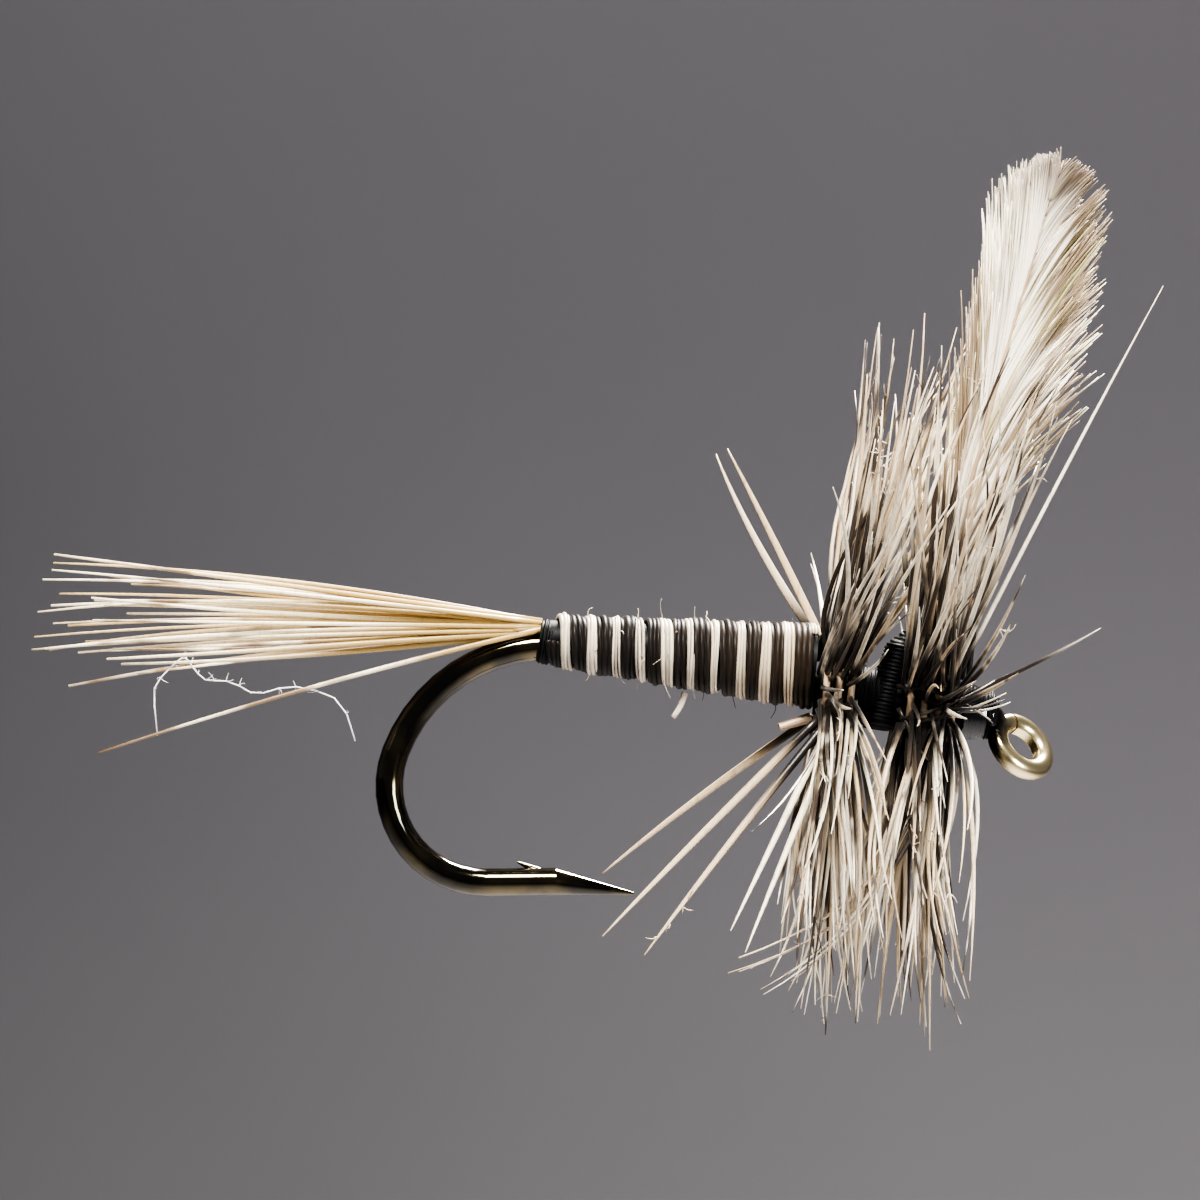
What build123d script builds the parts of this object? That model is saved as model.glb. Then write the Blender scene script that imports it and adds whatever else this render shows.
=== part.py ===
from build123d import *
import math
import os
import random

# A trout dry fly tied on a size 14 down-eye hook.
# Frame: millimetres, origin at the centre of the hook eye, +X forward along the shank, +Z up
# (towards the wings), +Y across. The hook is bent in the XZ plane.

os.makedirs("parts", exist_ok=True)

# Hook
WIRE_R = 0.21
SHANK_Z = 0.42
BEND_START_X = -6.84
UPPER_BEND_R, UPPER_BEND_DEG = 2.46, 78.0
LOWER_BEND_R, LOWER_BEND_DEG = 1.44, 111.5
SPEAR_LENGTH = 1.05
POINT_LENGTH, POINT_TIP_R = 1.16, 0.02
BARB_SETBACK, BARB_LENGTH, BARB_R = 0.22, 0.36, 0.075

# Eye: a ring of thinner wire, turned down and canted, with a true round land inside it
EYE_HOLE_R = 0.28
EYE_WIRE_R = 0.155
EYE_RING_R = 0.418
EYE_DOWN_DEG, EYE_CANT_DEG = 35.0, 38.0
EYE_NECK_BEND_R = 0.5
EYE_GAP, EYE_GAP_AT = 0.03, -0.62  # the slit where the ring closes, and its place in radians

# Thread layers
BASE_R = 0.235
BASE_REAR_X, BASE_FRONT_X = -7.24, -0.95
CLEARANCE = 0.003  # between pieces that touch, so that no two solids share volume

# Body: two hairs wound side by side on a cone whose axis rises towards the front
BODY_REAR = (-7.24, 0, 0.48)
BODY_TILT_DEG = 3.2
BODY_LENGTH = 4.02
BODY_REAR_R, BODY_FRONT_R = 0.41, 0.66
HAIR_PITCH = 0.37
HAIR_WIDTH, HAIR_THICKNESS = 0.176, 0.096
HAIR_TAG = ((-5.10, -0.05, 0.03), (-5.19, -0.10, -0.37))
HAIR_TAG_R, HAIR_TAG_TIP_R = 0.05, 0.035

# Tail
TAIL_FIBRES = 26
TAIL_ROOT_X = -7.38
TAIL_TIP_X = -14.6
TAIL_SPREAD_Z = (-1.25, 0.85)
TAIL_SPREAD_Y = 0.85
TAIL_LOW_TIP = (-13.6, -0.75, -2.17)
TAIL_ROOT_R, TAIL_TIP_R = 0.040, 0.014
BINDING_R, BINDING_Z = 0.335, 0.45
TAIL_BUTT_R, TAIL_BUTT_FRONT_X = 0.036, -4.6
DOWN_R, DOWN_BEND_R, DOWN_Y = 0.016, 0.1, -0.45

# Thorax, wings and hackles
THORAX_REAR_X, WINGS_REAR_X = -3.16, -2.50
THORAX_R = 0.40
POST_FOOT_X, POST_FOOT = -2.20, (0.28, 0.50)  # half length and half width of the thread mound
POST_TOP_X, POST_TOP_Z, POST_TOP = -1.98, 1.45, (0.16, 0.24)
POST_COLLAR_FRONT_X, POST_COLLAR_R = -1.92, (0.50, 0.47)
WING_BASE = (-1.58, 0.11, 0.74)
WING_TIP = (-0.82, 1.62, 8.66)
WING_STEM_R, WING_STEM_TIP_R = 0.062, 0.016
WING_BUTT_FRONT_X, WING_BUTT_DEG = -1.62, 20
FIGURE_EIGHT_RISE, FIGURE_EIGHT_R = 0.22, 0.03
VANE_THICKNESS = 0.05
VANE_START, VANE_SHOULDER, VANE_END = 1.3, 7.3, 8.3
VANE_WIDTH = 0.98
STEM_R = 0.055
REAR_HACKLE_X, FRONT_HACKLE_X = (-3.12, -2.56), (-1.86, -1.02)
REAR_TURNS, FRONT_TURNS = 3, 4
HACKLE_CORE_R = 0.46
BARB_ROOT_R, BARB_TIP_R = 0.034, 0.012
BARB_REACH, UPPER_BARB_EXTRA = 5.0, 0.5
GOLDEN_TURN_DEG = 137.508  # from one barb to the next, which spreads them evenly
BUTT_ROOT, BUTT_TIP = (-3.18, 0.10, -0.055), (-3.62, 0.17, -0.27)
BUTT_R, BUTT_TIP_R = 0.078, 0.055
REAR_BARBS, FRONT_BARBS = 84, 96
REAR_LEAN_DEG, FRONT_LEAN_DEG = (-3, 13), (-6, 12)
NO_GAP, WING_GAP = (0, 0), (7, 19)  # degrees from upright that are kept clear of barbs

# Head
HEAD_REAR_X, HEAD_FRONT_X = -0.93, -0.42
HEAD_REAR_R, HEAD_FRONT_R = 0.44, 0.26
HEAD_Z = SHANK_Z - 0.03
CEMENT = 0.03
COLLAR_REAR_X, COLLAR_FRONT_X, COLLAR_R = -0.60, -0.50, 0.36

MIN_Z = (Align.CENTER, Align.CENTER, Align.MIN)


def rod(start, end, start_r, end_r=None):
    """A straight rod between two points, tapered where end_r differs."""
    run = Vector(end) - Vector(start)
    end_r = start_r if end_r is None else end_r
    if abs(end_r - start_r) < 1e-6:
        shape = Cylinder(start_r, run.length, align=MIN_Z)
    else:
        shape = Cone(start_r, end_r, run.length, align=MIN_Z)
    return Plane(origin=start, z_dir=run) * shape


def disc(rear_x, front_x, z, rear_r, front_r=None):
    """A drum or frustum along X about a level line at height z."""
    return rod((rear_x, 0, z), (front_x, 0, z), rear_r, front_r)


def fibre(start, end, start_r=BARB_ROOT_R, end_r=BARB_TIP_R):
    """A tapered fibre with a six-sided section."""
    run = Vector(end) - Vector(start)
    ends = ((start, start_r), (end, end_r))
    return loft([Plane(origin=at, z_dir=run) * RegularPolygon(r, 6) for at, r in ends], ruled=True)


def shank_core(radius):
    """All that lies within a radius of the shank, for cutting out of what is wound over it."""
    return disc(BASE_REAR_X - 1, 0, SHANK_Z, radius)


def save(name, shape):
    """Writes one node; a list becomes a group of separate solids."""
    shape = Compound(children=[s.solid() for s in shape]) if isinstance(shape, list) else shape
    shape.label = name
    export_step(shape, f"parts/{name}.step")


# ---- hook ----------------------------------------------------------------------------------


def eye_axis():
    """The direction of the hole through the eye."""
    down, cant = math.radians(EYE_DOWN_DEG), math.radians(EYE_CANT_DEG)
    return Vector(math.sin(down) * math.cos(cant), -math.sin(cant), math.cos(down) * math.cos(cant))


def make_hook():
    down = math.radians(EYE_DOWN_DEG)
    ring_join = Vector(-math.cos(down), math.sin(down)) * EYE_RING_R
    rise = SHANK_Z - ring_join.Y - EYE_NECK_BEND_R * (1 - math.cos(down))
    neck_end = ring_join + Vector(-rise / math.tan(down), rise)
    neck_bend = JernArc(neck_end, (-math.cos(down), math.sin(down)), EYE_NECK_BEND_R, EYE_DOWN_DEG)
    shank = Line(neck_bend @ 1, (BEND_START_X, SHANK_Z))
    upper = JernArc(shank @ 1, shank % 1, UPPER_BEND_R, UPPER_BEND_DEG)
    lower = JernArc(upper @ 1, upper % 1, LOWER_BEND_R, LOWER_BEND_DEG)
    spear_end = lower @ 1 + (lower % 1) * SPEAR_LENGTH
    spear = Line(lower @ 1, spear_end)
    path = Plane.XZ * (neck_bend + shank + upper + lower + spear)
    wire = sweep(Plane(origin=path @ 0, z_dir=path % 0) * Circle(WIRE_R), path=path)

    neck = rod((neck_end.X, 0, neck_end.Y), (ring_join.X, 0, ring_join.Y), WIRE_R, EYE_WIRE_R)
    ring_plane = Plane(origin=(0, 0, 0), x_dir=(-math.cos(down), 0, math.sin(down)), z_dir=eye_axis())
    ring = ring_plane * Torus(EYE_RING_R, EYE_WIRE_R)
    closing = Pos(EYE_RING_R * math.cos(EYE_GAP_AT), EYE_RING_R * math.sin(EYE_GAP_AT), 0)
    ring -= ring_plane * closing * Rot(0, 0, math.degrees(EYE_GAP_AT)) * Box(0.6, EYE_GAP, 1)

    ahead = Vector((lower % 1).X, 0, (lower % 1).Y)
    above = Vector(-ahead.Z, 0, ahead.X)
    blunt = Vector(spear_end.X, 0, spear_end.Y)
    tip = blunt + ahead * POINT_LENGTH - above * (WIRE_R - POINT_TIP_R)
    point = loft(
        [
            Plane(origin=blunt, z_dir=ahead) * Circle(WIRE_R),
            Plane(origin=tip, z_dir=ahead) * Circle(POINT_TIP_R),
        ],
        ruled=True,
    )
    barb_root = blunt - ahead * BARB_SETBACK + above * (WIRE_R - BARB_R)
    barb_tip = barb_root - ahead * BARB_LENGTH + above * (BARB_R * 2.2)
    barb = rod(barb_root, barb_tip, BARB_R, 0.015)

    hole = ring_plane * Cylinder(EYE_HOLE_R, 2.0)
    return wire + neck + point + barb + ring - hole


# ---- body and tail -------------------------------------------------------------------------


def body_plane():
    tilt = math.radians(BODY_TILT_DEG)
    return Plane(origin=BODY_REAR, x_dir=(0, 1, 0), z_dir=(math.cos(tilt), 0, math.sin(tilt)))


def hair_winding(phase_deg):
    """One of the two flattened hairs that are wound side by side round the tapered underbody."""
    growth = (BODY_FRONT_R - BODY_REAR_R) / BODY_LENGTH
    path = Helix(
        pitch=HAIR_PITCH,
        height=BODY_LENGTH - HAIR_WIDTH,
        radius=BODY_REAR_R - HAIR_THICKNESS / 2,
        cone_angle=math.degrees(math.atan(growth)),
    )
    deep, wide, flat = HAIR_THICKNESS / 2, HAIR_WIDTH / 2, HAIR_WIDTH * 0.3
    outline = [(0, wide), (deep, flat), (deep, -flat), (0, -wide), (-deep, -flat), (-deep, flat)]
    section = make_face(Polyline(*outline, close=True))
    start = Plane(origin=path @ 0, x_dir=(1, 0, 0), z_dir=path % 0)
    strand = sweep(start * section, path=path, is_frenet=True)
    return body_plane() * Pos(0, 0, HAIR_WIDTH / 2) * Rot(0, 0, phase_deg) * strand


def tail_butts():
    """Fibre butts laid side by side along the top of the thread base."""
    lay = BASE_R + TAIL_BUTT_R + CLEARANCE
    butts = []
    for degrees in (-34, -17, 0, 17, 34):
        y = lay * math.sin(math.radians(degrees))
        z = SHANK_Z + lay * math.cos(math.radians(degrees))
        front_x = TAIL_BUTT_FRONT_X - abs(degrees) * 0.01
        butts.append(rod((BASE_REAR_X, y, z), (front_x, y, z), TAIL_BUTT_R))
    return butts


def underbody(butts):
    """Thread built up into a cone under the wound hairs."""
    under = HAIR_THICKNESS + CLEARANCE
    cone = Cone(BODY_REAR_R - under, BODY_FRONT_R - under, BODY_LENGTH, align=MIN_Z)
    return body_plane() * cone - shank_core(BASE_R) - butts


def tail_fibres():
    """A fan of tapered fibres that leave the tail binding and droop a little."""
    draw = random.Random(14)
    fibres = []
    for i in range(TAIL_FIBRES):
        share = i / (TAIL_FIBRES - 1)
        ring = 0.03 + 0.10 * math.sqrt(share)
        turn = i * 2.39996
        root = Vector(TAIL_ROOT_X, ring * math.cos(turn), 0.66 + 0.8 * ring * math.sin(turn))
        low, high = TAIL_SPREAD_Z
        height = (low + high) / 2 + (high - low) / 2 * math.sqrt(share) * math.sin(turn)
        side = TAIL_SPREAD_Y * math.sqrt(share) * math.cos(turn)
        tip = Vector(TAIL_TIP_X + draw.uniform(-0.45, 1.1), side, height + draw.uniform(-0.12, 0.12))
        fibres.append(fibre(root, tip, TAIL_ROOT_R, TAIL_TIP_R))
    fibres.append(fibre((TAIL_ROOT_X, -0.17, 0.62), TAIL_LOW_TIP, TAIL_ROOT_R, TAIL_TIP_R))
    return fibres


def down_wisp():
    """A curled thread of down caught in the tail."""
    route = [(-12.77, -1.82), (-12.98, -1.1), (-12.6, -0.52), (-12.2, -0.95), (-11.75, -0.8)]
    route += [(-11.4, -1.12), (-11.0, -0.72), (-10.5, -0.84), (-10.1, -0.8), (-9.84, -1.44)]
    path = FilletPolyline([(x, DOWN_Y, z) for x, z in route], radius=DOWN_BEND_R)
    return sweep(Plane(origin=path @ 0, z_dir=path % 0) * Circle(DOWN_R), path=path)


# ---- wings ---------------------------------------------------------------------------------


def across(point, side):
    """The same point on the left (+Y, side 1) or right (-Y, side -1) of the fly."""
    return Vector(point[0], point[1] * side, point[2])


def wing_plane(side):
    """Local y runs up the stem and local x towards the leading edge."""
    up = (across(WING_TIP, side) - across(WING_BASE, side)).normalized()
    forward = Vector(1, 0, 0) - up * up.X
    return Plane(origin=across(WING_BASE, side), x_dir=forward, z_dir=forward.cross(up))


def wing_vane(side, towards):
    """Half of a feather's web, as a thin plate: towards is 1 for leading and -1 for trailing."""
    inner = WING_STEM_R + CLEARANCE
    foot = (inner, VANE_START)
    out = (VANE_WIDTH * 0.45, VANE_START + 0.7)
    wide = (VANE_WIDTH, (VANE_START + VANE_SHOULDER) / 2 + 0.6)
    shoulder = (VANE_WIDTH * 0.88, VANE_SHOULDER)
    crown = (VANE_WIDTH * 0.62, VANE_END - 0.32)
    top = (inner, VANE_END)
    edge = Line(foot, out) + ThreePointArc(out, wide, shoulder) + ThreePointArc(shoulder, crown, top)
    web = extrude(make_face(edge + Line(top, foot)), VANE_THICKNESS / 2, both=True)
    if towards < 0:
        web = mirror(web, about=Plane.YZ)
    return wing_plane(side) * web


# ---- hackles -------------------------------------------------------------------------------


def hackle_stem(zone, turns):
    """The bare feather stem, wound forward round the thorax."""
    rear_x, front_x = zone
    height = front_x - rear_x
    path = Helix(pitch=height / turns, height=height, radius=HACKLE_CORE_R)
    stem = sweep(Plane(origin=path @ 0, z_dir=path % 0) * Circle(STEM_R), path=path, is_frenet=True)
    return Plane(origin=(rear_x, 0, SHANK_Z), x_dir=(0, 1, 0), z_dir=(1, 0, 0)) * stem


def hackle_barbs(zone, count, seed, lean_deg, gap_deg):
    """Tapered barbs that stand out all round a wound stem.

    lean_deg is the fore-and-aft range; gap_deg keeps upright barbs out of the wings' webs.
    """
    draw = random.Random(seed)
    root_r = HACKLE_CORE_R + STEM_R
    barbs = []
    for i in range(count):
        share = (i + 0.5) / count
        turn = math.radians(i * GOLDEN_TURN_DEG + draw.uniform(-5, 5))
        lean = math.radians(draw.uniform(*lean_deg))
        from_top = math.degrees(math.atan2(math.sin(turn), math.cos(turn)))
        if gap_deg[0] < abs(from_top) < gap_deg[1]:
            turn += math.radians(math.copysign(gap_deg[1] - gap_deg[0], from_top))
        out = Vector(0, math.sin(turn), math.cos(turn))
        x = zone[0] + (zone[1] - zone[0]) * share
        extra = UPPER_BARB_EXTRA if math.cos(turn) > 0.6 else 0
        reach = BARB_REACH * draw.uniform(0.86, 1.06) + extra
        root = Vector(x, 0, SHANK_Z) + out * root_r
        tip = Vector(x + reach * math.sin(lean), 0, SHANK_Z) + out * reach * math.cos(lean)
        barbs.append(fibre(root, tip))
    return barbs


def stray_barbs():
    """Long single barbs that stand clear of the hackle, each from its root to its tip."""
    ends = [
        ((-3.02, -0.42, 0.02), (-5.79, -1.1, -3.73)),
        ((-2.92, -0.44, -0.04), (-5.12, -1.5, -3.85)),
        ((-3.10, 0.36, -0.02), (-5.93, 0.9, -2.87)),
        ((-3.05, 0.20, 0.90), (-5.25, 0.9, 3.62)),
        ((-3.00, 0.32, 0.86), (-5.02, 1.2, 3.80)),
        ((-2.95, -0.10, 0.95), (-3.12, -0.9, 5.10)),
        ((-1.15, -0.40, 0.78), (0.92, -1.2, 7.05)),
        ((-0.96, -0.46, 0.64), (0.86, -1.0, 1.92)),
        ((-2.80, -0.50, 0.20), (-3.95, -2.6, -3.30)),
        ((-2.70, -0.50, 0.16), (-3.70, -2.9, -3.55)),
    ]
    return [fibre(root, tip) for root, tip in ends]


# ---- thorax and head -----------------------------------------------------------------------


def wing_stem(side):
    return rod(across(WING_BASE, side), across(WING_TIP, side), WING_STEM_R, WING_STEM_TIP_R)


def thorax(covered):
    """Black thread that covers the shank, and what is tied to it, from the body to the head."""
    drum = disc(THORAX_REAR_X, HEAD_REAR_X, SHANK_Z, THORAX_R)
    return drum - shank_core(BASE_R) - covered


def wing_butts():
    """The wing stems' butt ends, tied down along the top of the shank."""
    lay = BASE_R + WING_STEM_R + CLEARANCE
    butts = []
    for degrees in (-WING_BUTT_DEG, WING_BUTT_DEG):
        y = lay * math.sin(math.radians(degrees))
        z = SHANK_Z + lay * math.cos(math.radians(degrees))
        butts.append(rod((THORAX_REAR_X + 0.02, y, z), (WING_BUTT_FRONT_X, y, z), WING_STEM_R))
    return butts


def wing_post():
    """Thread built up behind the wings, so that it leans on them and holds them upright."""
    mound = loft(
        [
            Pos(POST_FOOT_X, 0, SHANK_Z) * Ellipse(*POST_FOOT),
            Pos(POST_TOP_X, 0, POST_TOP_Z) * Ellipse(*POST_TOP),
        ],
        ruled=True,
    )
    collar = disc(WINGS_REAR_X, POST_COLLAR_FRONT_X, SHANK_Z, *POST_COLLAR_R)
    return (mound + collar) - shank_core(THORAX_R)


def figure_eight():
    """Thread rings that cross between the wings, one round the foot of each."""
    rings = []
    for side in (1, -1):
        plane = wing_plane(side)
        along = plane.y_dir
        foot = across(WING_BASE, side) + along * FIGURE_EIGHT_RISE
        ring_r = WING_STEM_R + FIGURE_EIGHT_R + CLEARANCE
        rings.append(Plane(origin=foot, z_dir=along) * Torus(ring_r, FIGURE_EIGHT_R))
    return rings


def hackle_butts():
    """Trimmed ends of the hackle stems, which point back under the body."""
    stubs = []
    for side in (1, -1):
        stubs.append(rod(across(BUTT_ROOT, side), across(BUTT_TIP, side), BUTT_R, BUTT_TIP_R))
    return stubs


def head_core(extra=0.0):
    return disc(HEAD_REAR_X, HEAD_FRONT_X, HEAD_Z, HEAD_REAR_R + extra, HEAD_FRONT_R + extra)


def main():
    hook = make_hook()
    base = disc(BASE_REAR_X, BASE_FRONT_X, SHANK_Z, BASE_R) - hook
    tail_bed = tail_butts()
    wing_bed = wing_butts()

    save("hook", hook)
    save("thread_base", base)
    save("tail_fibres", tail_fibres())
    save("tail_butts", tail_bed)
    save("tail_binding", disc(TAIL_ROOT_X, BASE_REAR_X, BINDING_Z, BINDING_R) - hook)
    save("underbody_taper", underbody(tail_bed))
    save("light_hair_winding", hair_winding(0))
    save("dark_hair_winding", hair_winding(180))
    save("hair_tag_end", rod(*HAIR_TAG, HAIR_TAG_R, HAIR_TAG_TIP_R))
    save("down_wisp", down_wisp())

    save("thorax_wraps", thorax(wing_bed + [wing_stem(1), wing_stem(-1)]))
    save("wing_butts", wing_bed)
    save("wing_post_wraps", wing_post())
    save("wing_figure_eight", figure_eight())
    for side, hand in ((1, "left"), (-1, "right")):
        save(f"{hand}_wing_stem", wing_stem(side))
        save(f"{hand}_wing_leading_vane", wing_vane(side, 1))
        save(f"{hand}_wing_trailing_vane", wing_vane(side, -1))

    save("rear_hackle_stem", hackle_stem(REAR_HACKLE_X, REAR_TURNS))
    save("rear_hackle_barbs", hackle_barbs(REAR_HACKLE_X, REAR_BARBS, 3, REAR_LEAN_DEG, NO_GAP))
    save("front_hackle_stem", hackle_stem(FRONT_HACKLE_X, FRONT_TURNS))
    save("front_hackle_barbs", hackle_barbs(FRONT_HACKLE_X, FRONT_BARBS, 8, FRONT_LEAN_DEG, WING_GAP))
    save("hackle_butts", hackle_butts())
    save("stray_barbs", stray_barbs())

    collar = disc(COLLAR_REAR_X, COLLAR_FRONT_X, HEAD_Z, COLLAR_R)
    cement = head_core(CEMENT) - head_core()
    save("head_wraps", head_core() - hook)
    save("whip_finish", collar - head_core(CEMENT))
    save("head_cement", cement)


main()
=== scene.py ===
"""A trout dry fly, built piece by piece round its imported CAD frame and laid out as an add-on.

Every size below is in millimetres unless its name says otherwise; meshes are made in metres.
"""

import math
import random

import bpy
import numpy as np
from mathutils import Matrix, Vector


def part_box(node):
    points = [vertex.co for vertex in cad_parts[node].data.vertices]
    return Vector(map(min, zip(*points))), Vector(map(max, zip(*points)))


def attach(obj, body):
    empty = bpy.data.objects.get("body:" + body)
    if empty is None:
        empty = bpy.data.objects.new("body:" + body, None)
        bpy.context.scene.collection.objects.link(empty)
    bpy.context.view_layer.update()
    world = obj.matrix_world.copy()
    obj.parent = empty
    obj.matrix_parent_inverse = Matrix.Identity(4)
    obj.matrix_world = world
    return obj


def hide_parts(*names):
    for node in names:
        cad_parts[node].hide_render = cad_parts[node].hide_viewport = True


bl_info = {
    "name": "Dry Fly",
    "version": (1, 0, 0),
    "blender": (4, 5, 0),
    "location": "View3D > Sidebar > Dry Fly",
    "description": "Builds a hackled dry fly round its CAD frame",
    "category": "Add Mesh",
}

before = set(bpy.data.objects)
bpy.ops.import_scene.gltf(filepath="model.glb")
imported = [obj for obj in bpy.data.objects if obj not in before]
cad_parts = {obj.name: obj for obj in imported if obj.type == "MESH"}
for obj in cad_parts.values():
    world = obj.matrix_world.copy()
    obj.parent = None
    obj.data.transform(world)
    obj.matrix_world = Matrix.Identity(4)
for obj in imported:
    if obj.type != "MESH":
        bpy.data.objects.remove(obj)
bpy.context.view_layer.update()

MM = 0.001
TAU = 2 * math.pi
X_DIR, Y_DIR, Z_DIR = np.eye(3)
SHANK_Z = 0.42  # the middle of the shank
SAME_POINT = 0.0005  # vertices nearer than this are one
AT_END = 0.02  # vertices nearer than this to a rod's or drum's end are on its end face

HAIR_PITCH = 0.372  # one turn of the body hair to the next
HAIR_MARGIN = 0.09  # bare thread left at each end of the body
HAIR_ROWS_A_TURN = 44

VIEW_AIM = (-6.57, 0, 1.20)
VIEW_ROLL_DEG = 8.9
LAMP_AIM = (-5.0, 0, 0.5)
LAMP_SPREAD_DEG = 70
# the two ends of the painted light gradient on the floor and backdrop
FLOOR_DARK = (0.27, 0.262, 0.27, 1)
FLOOR_PALE = (0.72, 0.70, 0.722, 1)
AIR_COLOUR = (0.30, 0.29, 0.305, 1)
AIR_STRENGTH = 0.55


# ---- reading the frame ---------------------------------------------------------------------


def cad_points(node):
    """A node's vertices, in millimetres."""
    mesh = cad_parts[node].data
    found = np.empty(len(mesh.vertices) * 3, np.float32)
    mesh.vertices.foreach_get("co", found)
    return found.reshape(-1, 3).astype(float) / MM


def box(node):
    """A node's lowest and highest corners, in millimetres."""
    low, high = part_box(node)
    return np.array(low) / MM, np.array(high) / MM


def cad_fibres(node):
    """(root, tip, root radius) of each tapered fibre in a node, in millimetres."""
    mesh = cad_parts[node].data
    points = cad_points(node)
    keys = {}
    merged = [keys.setdefault(tuple(key), len(keys)) for key in np.round(points / SAME_POINT).astype(int)]
    parent = list(range(len(keys)))

    def top(i):
        while parent[i] != i:
            parent[i] = parent[parent[i]]
            i = parent[i]
        return i

    for face in mesh.polygons:
        corners = [top(merged[v]) for v in face.vertices]
        for corner in corners[1:]:
            parent[top(corner)] = top(corners[0])
    groups = {}
    for index, key in enumerate(merged):
        groups.setdefault(top(key), []).append(index)
    fibres = []
    for members in groups.values():
        cloud = points[members]
        middle = cloud.mean(0)
        run = np.linalg.svd(cloud - middle, full_matrices=False)[2][0]
        share = (cloud - middle) @ run
        ends = []
        for side in (share < 0, share > 0):
            centre = np.unique(np.round(cloud[side], 3), axis=0).mean(0)
            ends.append((np.linalg.norm(cloud[side] - centre, axis=1).mean(), centre))
        ends.sort(key=lambda end: -end[0])
        fibres.append((ends[0][1], ends[1][1], ends[0][0]))
    fibres.sort(key=lambda f: tuple(np.round(f[1], 3)))
    return fibres


def unit(v):
    return v / np.linalg.norm(v)


def turned(point, axis_z, angle):
    """The point turned about the line along X at height axis_z."""
    y, z = point[1], point[2] - axis_z
    c, s = math.cos(angle), math.sin(angle)
    return np.array([point[0], y * c - z * s, axis_z + y * s + z * c])


# ---- meshes --------------------------------------------------------------------------------


def wall_faces(first, rows, around):
    """The four-sided faces between rings of points that follow one another from index first."""
    faces = []
    for row in range(rows - 1):
        here = first + row * around
        for k in range(around):
            ahead = (k + 1) % around
            faces.append((here + k, here + ahead, here + around + ahead, here + around + k))
    return faces


class Strands:
    """Gathers tapered strands into one mesh, with what its material reads on each vertex.

    reach is a length in millimetres that places the bars, pick is one random number a strand,
    and shade makes a strand paler (above 0) or darker.
    """

    def __init__(self, sides=6):
        self.sides = sides
        self.rings, self.faces = [], []
        self.values = {"reach": [], "pick": [], "shade": []}
        self.count = 0

    def add(self, points, radii, hint, pick, reach=None, flat=1.0, shade=0.0):
        """One strand along points, as thick as flat times its width in the direction of hint."""
        points = np.asarray(points, float)
        radii = np.broadcast_to(np.asarray(radii, float), len(points))
        tangent = np.gradient(points, axis=0)
        tangent /= np.linalg.norm(tangent, axis=1)[:, None]
        hint = np.broadcast_to(np.asarray(hint, float), points.shape)
        normal = hint - (hint * tangent).sum(1)[:, None] * tangent
        normal /= np.linalg.norm(normal, axis=1)[:, None]
        across = np.cross(tangent, normal)
        angle = np.arange(self.sides) * TAU / self.sides
        ring = (
            points[:, None]
            + radii[:, None, None] * np.cos(angle)[None, :, None] * across[:, None]
            + flat * radii[:, None, None] * np.sin(angle)[None, :, None] * normal[:, None]
        )
        rows, sides, first = len(points), self.sides, self.count
        self.faces += wall_faces(first, rows, sides)
        self.faces.append(tuple(first + k for k in reversed(range(sides))))
        self.faces.append(tuple(first + (rows - 1) * sides + k for k in range(sides)))
        if reach is None:
            step = np.linalg.norm(np.diff(points, axis=0), axis=1)
            reach = np.concatenate([[0], np.cumsum(step)])
        self.rings.append(ring.reshape(-1, 3))
        self.values["reach"].append(np.repeat(reach, sides))
        self.values["shade"].append(np.full(rows * sides, shade))
        self.values["pick"].append(np.full(rows * sides, pick))
        self.count += rows * sides

    def build(self, name):
        points = np.concatenate(self.rings) * MM
        values = {key: np.concatenate(value) for key, value in self.values.items()}
        return mesh_object(name, points, self.faces, values)


def mesh_object(name, points, faces, values=None):
    mesh = bpy.data.meshes.new(name)
    mesh.from_pydata(points.tolist(), [], faces)
    mesh.polygons.foreach_set("use_smooth", [True] * len(mesh.polygons))
    for key, value in (values or {}).items():
        layer = mesh.attributes.new(key, "FLOAT", "POINT")
        layer.data.foreach_set("value", np.asarray(value, np.float32))
    mesh.update()
    piece = bpy.data.objects.new(name, mesh)
    bpy.context.scene.collection.objects.link(piece)
    return piece


def wound_form(name, centres, side_a, side_b, radii_a, radii_b, pitch, ridge, around=96):
    """A closed form covered in thread turns: one ridge each pitch along it, in a helix."""
    centres = np.asarray(centres, float)
    rows = len(centres)
    length = np.linalg.norm(centres - centres[0], axis=1)
    angle = np.arange(around) * TAU / around
    turn = length[:, None] / pitch + angle[None, :] / TAU
    swell = ridge * (np.abs(np.sin(math.pi * turn)) - 0.6)
    wander = 0.35 * ridge * np.sin(3 * angle[None, :] + 7 * length[:, None] / pitch / 3)
    a = (radii_a[:, None] + swell + wander) * np.cos(angle)
    b = (radii_b[:, None] + swell + wander) * np.sin(angle)
    points = centres[:, None] + a[..., None] * side_a + b[..., None] * side_b
    points = np.concatenate([points.reshape(-1, 3), centres[:1], centres[-1:]])
    faces = wall_faces(0, rows, around)
    last = (rows - 1) * around
    for k in range(around):
        ahead = (k + 1) % around
        faces.append((rows * around, ahead, k))
        faces.append((rows * around + 1, last + k, last + ahead))
    return mesh_object(name, points * MM, faces)


def curve_between(root, tip, bow, sway, rows=11):
    """Points from root to tip, bowed by one vector and swayed near the tip by another."""
    t = np.linspace(0, 1, rows)[:, None]
    return root + (tip - root) * t + bow * 4 * t * (1 - t) + sway * t**3


def random_vector(draw):
    return np.array([draw.gauss(0, 1) for _ in range(3)])


# ---- materials -----------------------------------------------------------------------------


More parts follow.
